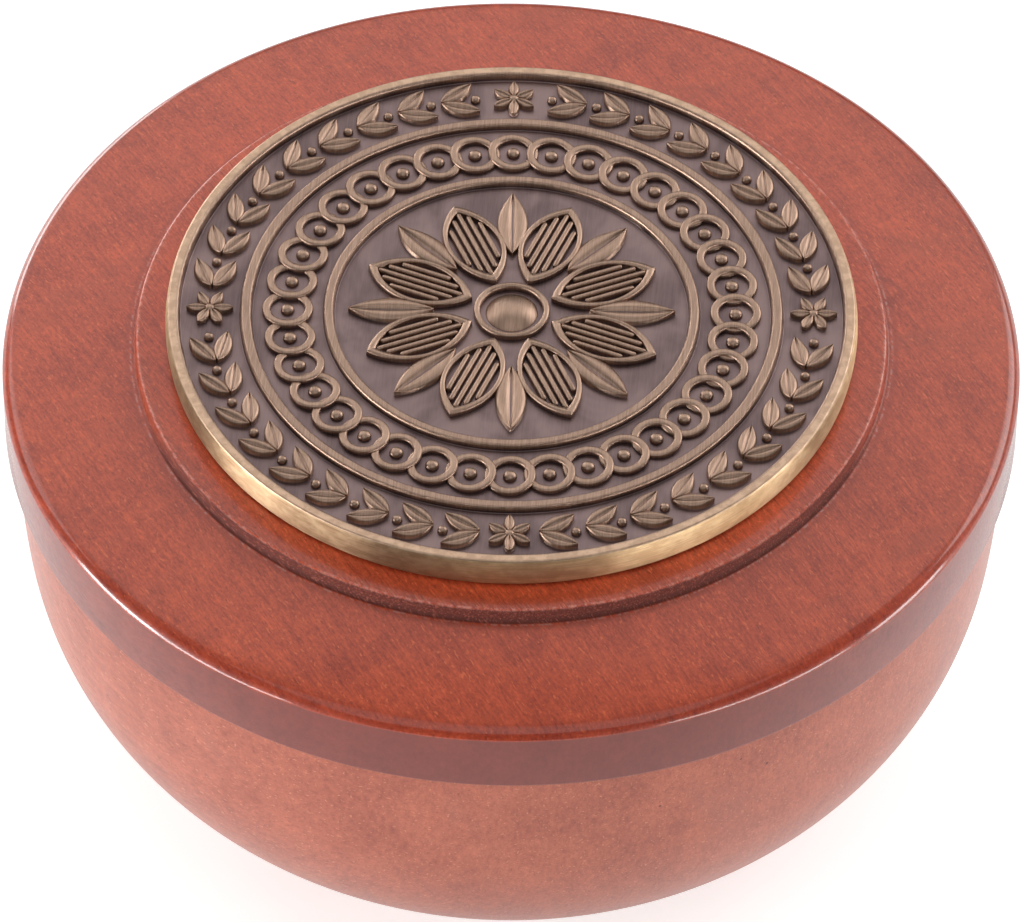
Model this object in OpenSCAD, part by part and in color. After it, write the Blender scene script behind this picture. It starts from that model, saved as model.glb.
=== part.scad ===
// Lidded wooden bowl for shaving soap, with a cast metal medallion on its lid.
// Millimetres, +Z up. The origin is the centre of the foot, on the surface that the bowl stands on.

/* [Bowl] */
// Diameter of the bowl at its widest
bowl_d = 107.7; // [106:0.1:109.4]
// Height of the bowl from its foot to its rim
bowl_h = 44.5; // [42:0.5:60]
// Depth of the widest point below the rim
belly_drop = 1.4; // [1:0.1:6]
// Radius of the long arc down the side
side_r = 132; // [110:1:200]
// Radius of the arc from the side down to the foot
shoulder_r = 35; // [32:0.5:37]
// Diameter of the flat foot
foot_d = 57; // [50:0.5:62]
// Chamfer of the rim's outer edge
rim_chamfer = 0.4; // [0.2:0.1:1]
// Diameter of the mouth that takes the lid's spigot
mouth_d = 90; // [86:0.5:94]
// Depth of the mouth below the rim, down to the ledge round the soap
mouth_depth = 14.5; // [12:0.5:18]
// Radius of the cove between the mouth and its ledge
ledge_cove_r = 6; // [1:0.5:7]
// Rounding of the ledge's edge over the soap
ledge_edge_r = 1; // [0.3:0.1:2]
// Thickness of the bowl's floor
floor_t = 8; // [6:0.5:11]
// Radius of the cove between the well and the floor
well_cove_r = 5; // [4:0.5:5.5]

/* [Soap] */
// Diameter of the soap puck
puck_d = 74.5; // [70:0.5:75.5]
// Height of the soap puck
puck_h = 22; // [14:0.5:23]
// Rounding of the puck's edges
puck_edge_r = 6; // [5.5:0.5:6.5]
// Gap round the puck in its well
puck_gap = 0.5; // [0.3:0.1:0.8]

/* [Lid] */
// Diameter of the lid
lid_d = 110; // [109:0.1:114]
// Height of the lid's straight side
lid_side_h = 7.3; // [5:0.1:12]
// Radius of the lid's rounded upper edge
lid_edge_r = 1.8; // [1:0.1:3]
// Angle at which that rounding leaves the side, as a crisp line
lid_edge_turn = 24; // [5:1:40]
// Rounding of the lid's lower edge
lid_foot_r = 0.4; // [0.2:0.1:1.5]
// Radius of the shallow dome of the lid's top
lid_dome_r = 410; // [250:5:800]
// Diameter of the raised platform under the medallion
platform_d = 81; // [79:0.5:90]
// Height of the platform above the dome, at its edge
platform_step = 1.5; // [1.4:0.1:3]
// Rounding of the platform's upper edge
platform_edge_r = 0.3; // [0.2:0.1:1]
// Radius of the cove at the platform's foot
platform_cove_r = 0.4; // [0.2:0.1:1]
// Length of the spigot that drops into the bowl's mouth
spigot_h = 5; // [4:0.5:7]
// Gap round the spigot in the mouth, which lets the lid turn and lift
spigot_gap = 0.4; // [0.3:0.1:0.8]
// Chamfer of the spigot's end
spigot_chamfer = 0.8; // [0.3:0.1:1.5]
// Diameter of the recess in the lid's underside
recess_d = 70; // [60:0.5:73]
// Depth of that recess from the spigot's end
recess_depth = 8.5; // [6:0.5:10]
// Radius of the cove round the recess's ceiling
recess_cove_r = 3; // [1:0.5:5]

/* [Medallion] */
// Diameter of the medallion
medallion_d = 74.5; // [73:0.1:77]
// Thickness of the medallion at its rim
medallion_t = 3.45; // [2.6:0.05:5]
// Width of the rim's flat top
rim_w = 1.1; // [0.8:0.05:1.6]
// Bevel of the rim's and the rings' edges
bevel = 0.18; // [0.05:0.01:0.25]
// Depth of the sunk field below the rim
field_depth = 0.95; // [0.8:0.05:1.4]
// Outside diameter of the outer raised ring
outer_ring_d = 58.3; // [56:0.1:60]
// Width of the outer raised ring
outer_ring_w = 1.15; // [0.8:0.05:1.5]
// Outside diameter of the inner raised ring
inner_ring_d = 40.4; // [39:0.1:42]
// Width of the inner raised ring
inner_ring_w = 1.05; // [0.8:0.05:1.5]
// Height of the raised rings above the field
ring_h = 0.78; // [0.5:0.01:0.8]
// Height of the relief above the field
relief_h = 0.7; // [0.4:0.05:0.75]
// Diameter of the adhesive pad under the medallion
pad_d = 70; // [60:0.5:72]
// Thickness of the adhesive pad
pad_t = 0.3; // [0.2:0.05:0.6]

/* [Laurel band] */
// Pairs of laurel leaves between two flowers
leaf_pairs = 9; // [6:1:12]
// Gap between the leaves' tips and the edges of the band
leaf_gap = 1.2; // [0.4:0.05:1.8]
// Width of a laurel leaf
leaf_w = 2; // [1:0.05:2.2]
// Angle of a laurel leaf to its stem
leaf_spread = 27; // [15:1:40]
// Distance between the roots of a pair's two leaves
leaf_part = 0.25; // [0.1:0.05:0.6]
// Diameter of a berry
berry_d = 1.1; // [0.6:0.1:1.4]
// Petals of the small flower between two garlands
flower_petals = 6; // [5:1:7]
// Gap between that flower's petals and the edges of the band
flower_gap = 0.8; // [0.4:0.05:1.2]
// Width of such a petal
flower_petal_w = 1.25; // [0.8:0.05:1.4]
// Diameter of the flower's heart
flower_heart_d = 1.3; // [0.9:0.1:1.6]
// Gap between the flower and the garlands on its two sides
flower_room = 0.6; // [0.3:0.05:1.2]

/* [Chain band] */
// Links in the chain
links = 36; // [30:1:42]
// Gap between the chain and the rings on its two sides
link_gap = 1.15; // [0.8:0.05:1.6]
// Width of a link's band
link_w = 0.9; // [0.5:0.05:1]
// Diameter of the pearl inside each link
pearl_d = 1.5; // [0.8:0.1:2]

/* [Rosette] */
// Petals of the rosette
petals = 8; // [6:1:10]
// Radius at which the petals start
petal_start = 4.6; // [4:0.1:6]
// Gap between the petals' tips and the inner ring
petal_gap = 2.35; // [1.5:0.05:5]
// Width of a ribbed petal
petal_w = 6.4; // [4:0.1:7]
// Width of a petal's border
petal_border = 0.55; // [0.4:0.05:0.9]
// Distance from rib to rib on a petal
rib_pitch = 0.95; // [0.8:0.05:1.4]
// Width of a rib
rib_w = 0.45; // [0.3:0.05:0.6]
// Radius at which the leaves between the petals start
sepal_start = 8.4; // [7:0.1:9]
// Gap between those leaves' tips and the inner ring
sepal_gap = 1.55; // [1:0.05:4]
// Width of a leaf between two petals
sepal_w = 3.4; // [2:0.1:4]
// Width of the groove down the middle of such a leaf
sepal_groove = 0.5; // [0.3:0.05:0.8]
// Diameter of the ring round the centre
hub_ring_d = 8.2; // [7.4:0.1:9]
// Width of that ring
hub_ring_w = 0.7; // [0.5:0.05:1]
// Diameter of the domed boss in the centre
boss_d = 5.6; // [4:0.1:6]

/* [Hidden] */
$fn = 96;

wood = [0.70, 0.36, 0.28];
soap = [0.95, 0.93, 0.86];
tape = [0.82, 0.80, 0.74];
bronze = [0.52, 0.45, 0.36];

// How far a cutting shape runs past the face that it cuts, and a fused shape into what it joins
over = 1;
root = 0.3;

// Bowl. The shoulder arc touches the side arc from inside and ends at the foot's edge.
bowl_r = bowl_d / 2;
foot_r = foot_d / 2;
side_centre = [bowl_r - side_r, bowl_h - belly_drop];
foot_edge = [foot_r, 0];
to_foot = foot_edge - side_centre;
centre_gap = side_r - shoulder_r;
foot_angle = atan2(to_foot.y, to_foot.x);
corner_cos = (centre_gap ^ 2 + norm(to_foot) ^ 2 - shoulder_r ^ 2) / (2 * centre_gap * norm(to_foot));
handover = foot_angle + acos(corner_cos);
ray = [cos(handover), sin(handover)];
shoulder_centre = side_centre + centre_gap * ray;
handover_z = side_centre.y + side_r * ray.y;
rim_r = side_centre.x + sqrt(side_r ^ 2 - belly_drop ^ 2);

// Half the width of the narrow flat over which one arc runs into the other
flat_half = 0.8;
mouth_r = mouth_d / 2;
ledge_z = bowl_h - mouth_depth;
puck_r = puck_d / 2;
well_r = puck_r + puck_gap;

// Lid, from its lower face at the bowl's rim. The dome lies dome_inset inside the one that the
// rounded edge would touch, so they meet at a faint line. The cove dips cove_dip into the dome.
dome_inset = 0.005;
lid_r = lid_d / 2;
lid_edge_centre = [
    lid_r - lid_edge_r * cos(lid_edge_turn),
    lid_side_h - lid_edge_r * sin(lid_edge_turn)
];
dome_reach = lid_dome_r - lid_edge_r + dome_inset;
dome_centre_z = lid_edge_centre.y - sqrt(dome_reach ^ 2 - lid_edge_centre.x ^ 2);
dome_touch_r = lid_edge_centre.x * lid_dome_r / (lid_dome_r - lid_edge_r);
function dome_z(r) = dome_centre_z + sqrt(lid_dome_r ^ 2 - r ^ 2);
function hundredth(length) = round(length * 100) / 100;
platform_r = platform_d / 2;
platform_z = hundredth(dome_z(platform_r) + platform_step);
cove_dip = 0.02;
cove_centre = [
    platform_r + platform_cove_r,
    dome_z(platform_r + platform_cove_r) + platform_cove_r - cove_dip
];
spigot_r = mouth_r - spigot_gap;
recess_r = recess_d / 2;

// Medallion, from its underside
medallion_r = medallion_d / 2;
pad_z = bowl_h + platform_z;
medallion_z = pad_z + pad_t;
field_z = medallion_t - field_depth;
field_r = medallion_r - bevel - rim_w - bevel;
outer_ring_r = outer_ring_d / 2;
inner_ring_r = inner_ring_d / 2;
laurel_r = (field_r + outer_ring_r) / 2;
laurel_half = (field_r - outer_ring_r) / 2;
leaf_l = (laurel_half - leaf_gap - leaf_part / 2) / sin(leaf_spread);
flower_r = laurel_half - flower_gap;
flower_clear = 2 * (flower_r + flower_room);
flower_angle = 90;
chain_r = (outer_ring_r - outer_ring_w + inner_ring_r) / 2;
chain_half = (outer_ring_r - outer_ring_w - inner_ring_r) / 2;
link_r = chain_half - link_gap;
inner_field_r = inner_ring_r - inner_ring_w;
petal_l = inner_field_r - petal_gap - petal_start;
sepal_l = inner_field_r - sepal_gap - sepal_start;
hub_ring_r = hub_ring_d / 2;
boss_r = boss_d / 2;
boss_h = 0.8;

// Half section of a well that is open at the top, with a cove round its floor
module coved_well(r, floor_z, top_z, cove) {
    translate([0, floor_z + cove]) square([r, top_z - floor_z - cove]);
    translate([0, floor_z]) square([r - cove, top_z - floor_z]);
    translate([r - cove, floor_z + cove]) circle(cove);
}

// What a rounding of radius r takes off a corner that points to +X +Y and lies at the origin
module corner_cut(r) {
    translate([-r, -r]) difference() {
        square(r + over);
        circle(r);
    }
}

// What a chamfer takes off a corner that points to +X +Y and lies at the origin
module chamfer_cut(size) {
    polygon([[-size - over, over], [over, over], [over, -size - over]]);
}

// What lies outside the straight line between two points of an outline that turns to the left
module outside_chord(low, high) {
    along = (high - low) / norm(high - low);
    out = [along.y, -along.x];
    polygon([
        low - over * along, low + over * (out - along),
        high + over * (out + along), high + over * along
    ]);
}

// Half section of the solid bowl before it is hollowed
module bowl_outline() {
    intersection() {
        translate(side_centre) circle(side_r, $fn = 720);
        translate([0, handover_z]) square([bowl_d, bowl_h - handover_z]);
    }
    intersection() {
        translate(shoulder_centre) circle(shoulder_r, $fn = 360);
        square([bowl_d, handover_z]);
    }
    square([shoulder_centre.x, handover_z]);
}

module bowl_hollow() {
    coved_well(mouth_r, ledge_z, bowl_h + over, ledge_cove_r);
    coved_well(well_r, floor_t, ledge_z + over, well_cove_r);
    translate([well_r, ledge_z]) mirror([1, 0]) corner_cut(ledge_edge_r);
}

module bowl() {
    half_turn = flat_half * 180 / PI;
    low_angle = handover - half_turn / shoulder_r;
    high_angle = handover + half_turn / side_r;
    low = shoulder_centre + shoulder_r * [cos(low_angle), sin(low_angle)];
    high = side_centre + side_r * [cos(high_angle), sin(high_angle)];
    color(wood) rotate_extrude() difference() {
        bowl_outline();
        bowl_hollow();
        outside_chord(low, high);
        translate([rim_r, bowl_h]) chamfer_cut(rim_chamfer);
    }
}

module soap_puck() {
    color(soap) translate([0, 0, floor_t]) rotate_extrude() {
        square([puck_r - puck_edge_r, puck_h]);
        translate([0, puck_edge_r]) square([puck_r, puck_h - 2 * puck_edge_r]);
        for (z = [puck_edge_r, puck_h - puck_edge_r])
            translate([puck_r - puck_edge_r, z]) circle(puck_edge_r);
    }
}

// Half section of the lid above its lower face, without its platform
module lid_top_outline() {
    intersection() {
        square([lid_r, platform_z]);
        translate([0, dome_centre_z]) circle(lid_dome_r, $fn = 1440);
        union() {
            square([lid_d, lid_edge_centre.y]);
            square([dome_touch_r, platform_z]);
            translate(lid_edge_centre) circle(lid_edge_r);
        }
    }
}

module platform_outline() {
    difference() {
        square([platform_r, platform_z]);
        translate([platform_r, platform_z]) corner_cut(platform_edge_r);
    }
    difference() {
        square(cove_centre);
        translate(cove_centre) circle(platform_cove_r);
    }
}

module spigot_outline() {
    difference() {
        translate([0, -spigot_h]) square([spigot_r, spigot_h + over]);
        translate([spigot_r, -spigot_h]) mirror([0, 1]) chamfer_cut(spigot_chamfer);
    }
}

module lid() {
    color(wood) translate([0, 0, bowl_h]) rotate_extrude() difference() {
        union() {
            lid_top_outline();
            platform_outline();
            spigot_outline();
        }
        translate([lid_r, 0]) mirror([0, 1]) corner_cut(lid_foot_r);
        translate([0, recess_depth - spigot_h]) mirror([0, 1])
            coved_well(recess_r, 0, recess_depth + over, recess_cove_r);
    }
}

module bond_pad() {
    color(tape) translate([0, 0, pad_z]) cylinder(h = pad_t, d = pad_d);
}

// Half section of a raised band with bevelled edges, from root below its foot
module raised_band(inner, outer, h) {
    polygon([
        [inner, -root], [outer, -root], [outer, h - bevel],
        [outer - bevel, h], [inner + bevel, h], [inner, h - bevel]
    ]);
}

module medallion_disc() {
    rotate_extrude($fn = 180) {
        square([medallion_r, field_z]);
        translate([0, field_z]) {
            raised_band(field_r, medallion_r, field_depth);
            raised_band(outer_ring_r - outer_ring_w, outer_ring_r, ring_h);
            raised_band(inner_ring_r - inner_ring_w, inner_ring_r, ring_h);
        }
    }
}

// A pointed leaf from the origin along +X, between two equal arcs
module leaf(length, width) {
    arc_r = (length ^ 2 + width ^ 2) / (4 * width);
    translate([length / 2, 0]) intersection() {
        translate([0, arc_r - width / 2]) circle(arc_r);
        translate([0, width / 2 - arc_r]) circle(arc_r);
    }
}

module ring(outer, width) {
    difference() {
        circle(outer);
        circle(outer - width);
    }
}

// One quarter of the garland, from the flower at 0 degrees to the next
module laurel_quarter() {
    start = flower_clear / laurel_r * 180 / PI / 2;
    pitch = (flower_angle - 2 * start) / leaf_pairs;
    for (i = [0:leaf_pairs - 1])
        rotate(start + i * pitch) translate([laurel_r, 0]) rotate(90) {
            for (side = [-1, 1])
                translate([0, side * leaf_part / 2]) rotate(side * leaf_spread) leaf(leaf_l, leaf_w);
            translate([leaf_l * cos(leaf_spread), 0]) circle(d = berry_d);
        }
}

module flower() {
    petal_root = flower_heart_d / 4;
    for (i = [0:flower_petals - 1])
        rotate(i * 360 / flower_petals) translate([petal_root, 0])
            leaf(flower_r - petal_root, flower_petal_w);
    circle(d = flower_heart_d);
}

// Leaves run up both sides from the flower at the front to the flower at the back
module laurel_band() {
    for (side = [0, 1])
        mirror([side, 0])
            for (quarter = [-flower_angle, 0])
                rotate(quarter) laurel_quarter();
    for (i = [0:3])
        rotate(i * flower_angle) translate([laurel_r, 0]) flower();
}

module chain_band() {
    for (i = [0:links - 1])
        rotate(i * 360 / links) translate([chain_r, 0]) {
            ring(link_r, link_w);
            circle(d = pearl_d);
        }
}

// A leaf outline with ribs inside it, from the origin along +X
module ribbed_petal() {
    ribs = floor((petal_w - 2 * petal_border) / rib_pitch / 2);
    inner_l = petal_l - 4 * petal_border;
    difference() {
        leaf(petal_l, petal_w);
        translate([2 * petal_border, 0]) leaf(inner_l, petal_w - 2 * petal_border);
    }
    intersection() {
        leaf(petal_l, petal_w);
        for (i = [-ribs:ribs])
            translate([0, i * rib_pitch - rib_w / 2]) square([petal_l, rib_w]);
    }
}

module sepal() {
    difference() {
        leaf(sepal_l, sepal_w);
        translate([0, -sepal_groove / 2]) square([sepal_l - sepal_w / 2, sepal_groove]);
    }
}

module rosette() {
    for (i = [0:petals - 1]) {
        rotate((i + 0.5) * 360 / petals) translate([petal_start, 0]) ribbed_petal();
        rotate(i * 360 / petals) translate([sepal_start, 0]) sepal();
    }
    ring(hub_ring_r, hub_ring_w);
}

// A low spherical cap on the field
module boss() {
    cap_r = (boss_r ^ 2 + boss_h ^ 2) / (2 * boss_h);
    intersection() {
        translate([0, 0, boss_h - cap_r]) sphere(cap_r, $fn = 120);
        translate([0, 0, -root]) cylinder(h = boss_h + root + over, r = boss_r);
    }
}

module medallion() {
    color(bronze) translate([0, 0, medallion_z]) {
        medallion_disc();
        translate([0, 0, field_z - root]) linear_extrude(root + relief_h) {
            laurel_band();
            chain_band();
            rosette();
        }
        translate([0, 0, field_z]) boss();
    }
}

bowl();
soap_puck();
lid();
bond_pad();
medallion();
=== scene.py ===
"""Looks of a turned-wood shaving soap bowl with a cast medallion, round its frame. Metres."""
import math

import bpy
import numpy as np
from mathutils import Matrix, Vector
from mathutils.bvhtree import BVHTree


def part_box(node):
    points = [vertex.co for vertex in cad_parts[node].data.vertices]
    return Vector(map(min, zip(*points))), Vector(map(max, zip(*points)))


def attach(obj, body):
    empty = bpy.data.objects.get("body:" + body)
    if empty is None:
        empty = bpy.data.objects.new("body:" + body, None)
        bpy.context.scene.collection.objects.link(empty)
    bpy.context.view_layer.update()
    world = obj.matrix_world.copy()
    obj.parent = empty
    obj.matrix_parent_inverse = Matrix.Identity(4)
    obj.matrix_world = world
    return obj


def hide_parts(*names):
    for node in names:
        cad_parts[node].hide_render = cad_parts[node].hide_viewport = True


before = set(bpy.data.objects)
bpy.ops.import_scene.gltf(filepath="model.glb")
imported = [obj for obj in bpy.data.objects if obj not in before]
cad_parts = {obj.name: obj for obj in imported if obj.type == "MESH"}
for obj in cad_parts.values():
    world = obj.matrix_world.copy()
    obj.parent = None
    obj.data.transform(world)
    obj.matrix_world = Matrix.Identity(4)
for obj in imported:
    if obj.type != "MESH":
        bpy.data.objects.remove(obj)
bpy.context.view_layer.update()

MM = 0.001

# ---------------------------------------------------------------- sizes
# Read off the frame
_, bowl_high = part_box("bowl")
lid_low, lid_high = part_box("lid")
puck_low, puck_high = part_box("soap_puck")
cast_low, cast_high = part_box("medallion")
RIM_Z = bowl_high.z
PLATFORM_Z = lid_high.z
CAST_TOP = cast_high.z

# Bowl, as in the CAD source
BOWL_R = 53.85 * MM
BELLY_Z = RIM_Z - 1.4 * MM
SIDE_R = 132.0 * MM
SHOULDER_R = 35.0 * MM
FOOT_R = 28.5 * MM
RIM_CHAMFER = 0.4 * MM
MOUTH_R = 45.0 * MM
LEDGE_Z = RIM_Z - 14.5 * MM
LEDGE_COVE = 6.0 * MM
LEDGE_EDGE = 1.0 * MM
FLOOR_Z = puck_low.z
WELL_R = 37.75 * MM
WELL_COVE = 5.0 * MM

# Lid
LID_R = 55.0 * MM
LID_SIDE = 7.3 * MM
ARRIS_Z = RIM_Z + LID_SIDE
LID_EDGE = 1.8 * MM
LID_EDGE_TURN = math.radians(24)
LID_FOOT = 0.4 * MM
DOME_R = 410.0 * MM
PLATFORM_R = 40.5 * MM
PLATFORM_EDGE = 0.3 * MM
PLATFORM_COVE = 0.4 * MM
SPIGOT_R = MOUTH_R - 0.4 * MM
SPIGOT_CHAMFER = 0.8 * MM
RECESS_R = 35.0 * MM
RECESS_Z = lid_low.z + 8.5 * MM
RECESS_COVE = 3.0 * MM

# Soap
PUCK_R = 37.25 * MM
PUCK_EDGE = 6.0 * MM

# Medallion
CAST_R = 37.25 * MM
RIM_W = 1.1 * MM
BEVEL = 0.18 * MM
BASE_BEVEL = 0.1 * MM
RIM_INNER_R = CAST_R - 2 * BEVEL - RIM_W
RIM_FLARE = 0.12 * MM
FIELD_Z = CAST_TOP - 0.95 * MM
RING_H = 0.78 * MM
RING_TOP = FIELD_Z + RING_H
FLARE = 0.1 * MM  # how far a ring's foot spreads on the field
RELIEF_H = 0.7 * MM
OUTER_RING_R = 29.15 * MM
OUTER_RING_W = 1.15 * MM
INNER_RING_R = 20.2 * MM
INNER_RING_W = 1.05 * MM
WALL_BULGE = 0.18 * MM
ROOT = 0.12 * MM  # how deep the relief's shells reach into the field

# Relief: laurel garland, chain and rosette
LEAF_W = 2.0 * MM
LEAF_SPREAD = math.radians(27)
LEAF_GAP = 1.2 * MM
LEAF_PART = 0.25 * MM
LEAF_PAIRS = 9
BERRY_R = 0.55 * MM
FLOWER_GAP = 0.8 * MM
FLOWER_ROOM = 0.6 * MM
FLOWER_HEART_R = 0.65 * MM
FLOWER_PETALS = 6
FLOWER_PETAL_W = 1.25 * MM
LINKS = 36
LINK_GAP = 1.15 * MM
LINK_W = 0.9 * MM
LINK_TILT = math.radians(3.2)
LINK_PEARL_R = 0.75 * MM
PETALS = 8
PETAL_START = 4.6 * MM
PETAL_GAP = 2.35 * MM
PETAL_W = 6.4 * MM
PETAL_BORDER = 0.55 * MM
PETAL_STEPS = 24
RIB_PITCH = 0.85 * MM
RIB_W = 0.58 * MM
RIB_OVERLAP = 0.3 * MM  # of a rib's two ends with the petal's border
SEPAL_START = 8.4 * MM
SEPAL_GAP = 1.55 * MM
SEPAL_W = 3.4 * MM
HUB_R = 4.1 * MM
HUB_W = 0.7 * MM
BOSS_R = 2.8 * MM
BOSS_H = 0.8 * MM

SEGMENTS = 320
CAST_SEGMENTS = 720


# ---------------------------------------------------------------- mesh helpers
def arc(centre, radius, start, end, steps):
    """Points of an arc in a half section, from one angle to the other, in degrees."""
    turn = np.radians(np.linspace(start, end, steps + 1))
    return [(centre[0] + radius * math.cos(t), centre[1] + radius * math.sin(t)) for t in turn]


def soften(outline, radius, steps=3, limit=12.0):
    """Rounds each corner of an outline that turns more than limit degrees, and leaves its flats."""
    soft = [outline[0]]
    for before, at, after in zip(outline, outline[1:], outline[2:]):
        a, b, c = (np.array(p, float) for p in (before, at, after))
        back, on = a - b, c - b
        reach = min(radius, 0.4 * np.linalg.norm(back), 0.4 * np.linalg.norm(on))
        back, on = back / np.linalg.norm(back), on / np.linalg.norm(on)
        turn = math.degrees(math.acos(max(-1.0, min(1.0, float(-back @ on)))))
        if turn < limit:
            soft.append(tuple(b))
            continue
        soft.append(tuple(b + back * reach * 1.5))
        for i in range(steps + 1):
            t = i / steps
            soft.append(tuple(b + back * reach * (1 - t) ** 2 + on * reach * t ** 2))
        soft.append(tuple(b + on * reach * 1.5))
    soft.append(outline[-1])
    return soft


def make_mesh(name, points, faces, polish=None):
    mesh = bpy.data.meshes.new(name)
    mesh.from_pydata([tuple(p) for p in points], [], faces)
    if polish is not None:
        mesh.attributes.new("polish", "FLOAT", "POINT").data.foreach_set("value", polish)
    mesh.validate()
    for polygon in mesh.polygons:
        polygon.use_smooth = True
    obj = bpy.data.objects.new(name, mesh)
    bpy.context.scene.collection.objects.link(obj)
    return obj


def turn_outline(outline, segments):
    """Points and faces of a solid turned about Z, from a half section that starts and ends on Z."""
    points, faces, rings = [], [], []
    for r, z in outline:
        if r < 1e-7:
            rings.append([len(points)])
            points.append((0.0, 0.0, z))
            continue
        rings.append(list(range(len(points), len(points) + segments)))
        for i in range(segments):
            t = 2 * math.pi * i / segments
            points.append((r * math.cos(t), r * math.sin(t), z))
    for low, high in zip(rings, rings[1:]):
        for i in range(segments):
            j = (i + 1) % segments
            quad = [low[i % len(low)], low[j % len(low)], high[j % len(high)], high[i % len(high)]]
            faces.append(list(dict.fromkeys(quad)))
    return points, [f for f in faces if len(f) > 2]


# ---------------------------------------------------------------- outlines of the turned pieces
def bowl_outline():
    side = np.array([BOWL_R - SIDE_R, BELLY_Z])
    foot = np.array([FOOT_R, 0.0])
    gap, reach = SIDE_R - SHOULDER_R, np.linalg.norm(foot - side)
    corner = math.acos((gap ** 2 + reach ** 2 - SHOULDER_R ** 2) / (2 * gap * reach))
    handover = math.degrees(math.atan2(*(foot - side)[::-1]) + corner)
    ray = np.array([math.cos(math.radians(handover)), math.sin(math.radians(handover))])
    shoulder = side + gap * ray
    foot_angle = math.degrees(math.atan2(*(foot - shoulder)[::-1]))
    rim_angle = math.degrees(math.asin((RIM_Z - RIM_CHAMFER - BELLY_Z) / SIDE_R))
    rim_r = side[0] + SIDE_R * math.cos(math.radians(rim_angle))
    outline = [(0, 0), (FOOT_R * 0.5, 0)]
    outline += arc(shoulder, SHOULDER_R, foot_angle, handover, 44)
    outline += arc(side, SIDE_R, handover, rim_angle, 12)[1:]
    outline += [(rim_r - RIM_CHAMFER, RIM_Z), (MOUTH_R, RIM_Z)]
    outline += arc((MOUTH_R - LEDGE_COVE, LEDGE_Z + LEDGE_COVE), LEDGE_COVE, 0, -90, 12)
    outline += arc((WELL_R + LEDGE_EDGE, LEDGE_Z - LEDGE_EDGE), LEDGE_EDGE, 90, 180, 6)
    outline += arc((WELL_R - WELL_COVE, FLOOR_Z + WELL_COVE), WELL_COVE, 0, -90, 10)
    outline += [(WELL_R * 0.4, FLOOR_Z), (0, FLOOR_Z)]
    return soften(outline, 0.25 * MM)


def arris_centre():
    """Centre of the arc that rounds the lid's upper edge, in the half section."""
    radius = LID_R - LID_EDGE * math.cos(LID_EDGE_TURN)
    return radius, ARRIS_Z - LID_EDGE * math.sin(LID_EDGE_TURN)


def dome_height(r):
    edge_r, edge_z = arris_centre()
    centre = edge_z - math.sqrt((DOME_R - LID_EDGE) ** 2 - edge_r ** 2)
    return centre + math.sqrt(DOME_R ** 2 - r ** 2)


def lid_outline():
    arris = arris_centre()
    dome_start = arris[0] * DOME_R / (DOME_R - LID_EDGE)
    cove = (PLATFORM_R + PLATFORM_COVE, dome_height(PLATFORM_R + PLATFORM_COVE) + PLATFORM_COVE)
    slope = math.degrees(math.asin(dome_start / DOME_R))
    outline = [(0, RECESS_Z), (RECESS_R * 0.5, RECESS_Z)]
    outline += arc((RECESS_R - RECESS_COVE, RECESS_Z - RECESS_COVE), RECESS_COVE, 90, 0, 8)
    outline += [(RECESS_R, lid_low.z), (SPIGOT_R - SPIGOT_CHAMFER, lid_low.z)]
    outline += [(SPIGOT_R, lid_low.z + SPIGOT_CHAMFER), (SPIGOT_R, RIM_Z)]
    outline += arc((LID_R - LID_FOOT, RIM_Z + LID_FOOT), LID_FOOT, -90, 0, 4)
    outline += arc(arris, LID_EDGE, math.degrees(LID_EDGE_TURN), 90 - slope, 12)
    outline += [(r, dome_height(r)) for r in np.linspace(dome_start, cove[0], 10)[1:]]
    outline += arc(cove, PLATFORM_COVE, -90, -180, 6)[1:]
    edge = (PLATFORM_R - PLATFORM_EDGE, PLATFORM_Z - PLATFORM_EDGE)
    outline += arc(edge, PLATFORM_EDGE, 0, 90, 8)
    outline += [(PLATFORM_R * 0.6, PLATFORM_Z), (0, PLATFORM_Z)]
    return soften(outline, 0.06 * MM)


def puck_outline():
    low, high = puck_low.z, puck_high.z
    outline = [(0, low), (PUCK_R * 0.5, low)]
    outline += arc((PUCK_R - PUCK_EDGE, low + PUCK_EDGE), PUCK_EDGE, -90, 0, 12)
    outline += arc((PUCK_R - PUCK_EDGE, high - PUCK_EDGE), PUCK_EDGE, 0, 90, 12)
    outline += [(PUCK_R * 0.5, high), (0, high)]
    return outline


def wood_piece(name, outline, body, node):
    points, faces = turn_outline(outline, SEGMENTS)
    piece = make_mesh(name, points, faces)
    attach(piece, body)
    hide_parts(node)
    return piece


bowl = wood_piece("bowl_turned", bowl_outline(), "bowl_body", "bowl")
lid = wood_piece("lid_turned", lid_outline(), "lid_body", "lid")
soap = wood_piece("soap_cake", puck_outline(), "soap_body", "soap_puck")


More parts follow.
